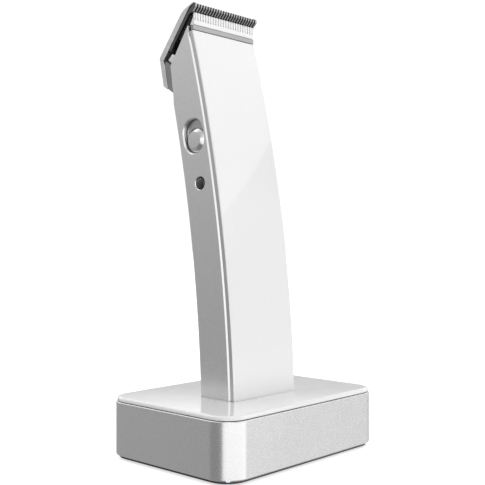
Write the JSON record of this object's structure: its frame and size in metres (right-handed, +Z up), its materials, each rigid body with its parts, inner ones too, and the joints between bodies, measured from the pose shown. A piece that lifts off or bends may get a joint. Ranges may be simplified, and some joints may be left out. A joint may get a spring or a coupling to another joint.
{
  "type": "electric pet clipper with charging dock",
  "caption": "Cordless pet clipper with an arched handle, flip-open comb blade head and side switch, standing upright in a rectangular charging dock.",
  "frame": {"origin": "on the floor under the centre of the dock", "axes": "+Z up, -Y the dock's front, which the white panel and the blade's teeth face, -X the side with the switch"},
  "size_m": [0.09, 0.066, 0.1784],
  "materials": {
    "silver_paint": "satin silver paint",
    "white_gloss": "gloss white",
    "ceramic_white": "fine-ground white ceramic",
    "blade_steel": "ground dark steel",
    "bright_steel": "bright plated steel",
    "black_plastic": "black moulded",
    "dark_plastic": "charcoal moulded",
    "grey_plastic": "mid-grey moulded",
    "white_plastic": "natural white moulded",
    "black_rubber": "black rubber",
    "circuit_board": "green solder mask",
    "contact_brass": "gold-plated brass",
    "cell_wrap": "shrink-wrapped steel can",
    "lamp_lens": "dark gloss lens"
  },
  "bodies": {
    "dock": {"dock_shell": "silver_paint", "dock_top_plate": "white_gloss", "socket_well": "white_plastic", "dock_base_plate": "dark_plastic", "foot_front_left": "black_rubber", "foot_front_right": "black_rubber", "foot_back_left": "black_rubber", "foot_back_right": "black_rubber", "dock_screw_front_left": "bright_steel", "dock_screw_front_right": "bright_steel", "dock_screw_back_left": "bright_steel", "dock_screw_back_right": "bright_steel", "charge_board": "circuit_board", "dc_jack": "black_plastic", "pin_barrel_left": "contact_brass", "pin_barrel_right": "contact_brass"},
    "charge_pin_left": {"charge_pin_left": "contact_brass"},
    "charge_pin_right": {"charge_pin_right": "contact_brass"},
    "clipper": {"rear_casing": "silver_paint", "front_panel": "white_gloss", "top_bezel": "silver_paint", "end_cap": "white_plastic", "charge_contact_left": "contact_brass", "charge_contact_right": "contact_brass", "inner_chassis": "dark_plastic", "battery_cell_left": "cell_wrap", "battery_cell_right": "cell_wrap", "battery_strap": "bright_steel", "motor": "bright_steel", "lever_pivot_pin": "bright_steel", "control_board": "circuit_board", "switch_tray": "silver_paint", "indicator_lens": "lamp_lens", "indicator_lamp": "white_plastic", "hinge_bracket": "dark_plastic", "head_hinge_pin": "bright_steel"},
    "eccentric": {"motor_shaft": "bright_steel", "eccentric_cam": "white_plastic"},
    "drive_lever": {"drive_lever": "white_plastic"},
    "switch": {"switch_button": "bright_steel"},
    "blade_head": {"fixed_blade": "blade_steel", "blade_cover": "silver_paint", "blade_seat": "bright_steel", "head_base": "grey_plastic", "head_heel": "silver_paint", "blade_screw_left": "bright_steel", "blade_screw_right": "bright_steel", "blade_spring": "bright_steel"},
    "cutter": {"moving_blade": "ceramic_white", "blade_carrier": "black_plastic"}
  },
  "joints": [
    {"name": "lift_out", "type": "slide", "parent": "dock", "child": "clipper", "axis": [0, 0.0366, 0.9993], "range_m": [0, 0.05]},
    {"name": "head_flip", "type": "hinge", "parent": "clipper", "child": "blade_head", "pos_m": [-0.00315, 0.01975, 0.144], "axis": [-1, 0, 0], "range_deg": [0, 40]},
    {"name": "blade_stroke", "type": "slide", "parent": "blade_head", "child": "cutter", "axis": [1, 0, 0], "range_m": [-0.0007, 0.0007]},
    {"name": "lever_swing", "type": "hinge", "parent": "clipper", "child": "drive_lever", "pos_m": [-0.00315, 0.01062, 0.13977], "axis": [0, 0.9733, -0.2296], "range_deg": [-3, 3]},
    {"name": "motor_spin", "type": "hinge", "parent": "clipper", "child": "eccentric", "pos_m": [-0.00315, 0.00315, 0.10353], "axis": [0, 0.1692, 0.9856], "continuous": true},
    {"name": "switch_slide", "type": "slide", "parent": "clipper", "child": "switch", "axis": [0, 0.2062, 0.9785], "range_m": [0, 0.0032]},
    {"name": "charge_pin_left_travel", "type": "slide", "parent": "dock", "child": "charge_pin_left", "axis": [0, 0, 1], "range_m": [-0.0012, 0], "stiffness_N_per_m": 60, "springref_m": 0.001},
    {"name": "charge_pin_right_travel", "type": "slide", "parent": "dock", "child": "charge_pin_right", "axis": [0, 0, 1], "range_m": [-0.0012, 0], "stiffness_N_per_m": 60, "springref_m": 0.001}
  ],
  "couplings": [
    {"joint": "lever_swing", "follows": "blade_stroke", "rad_per_m": 40.37}
  ]
}
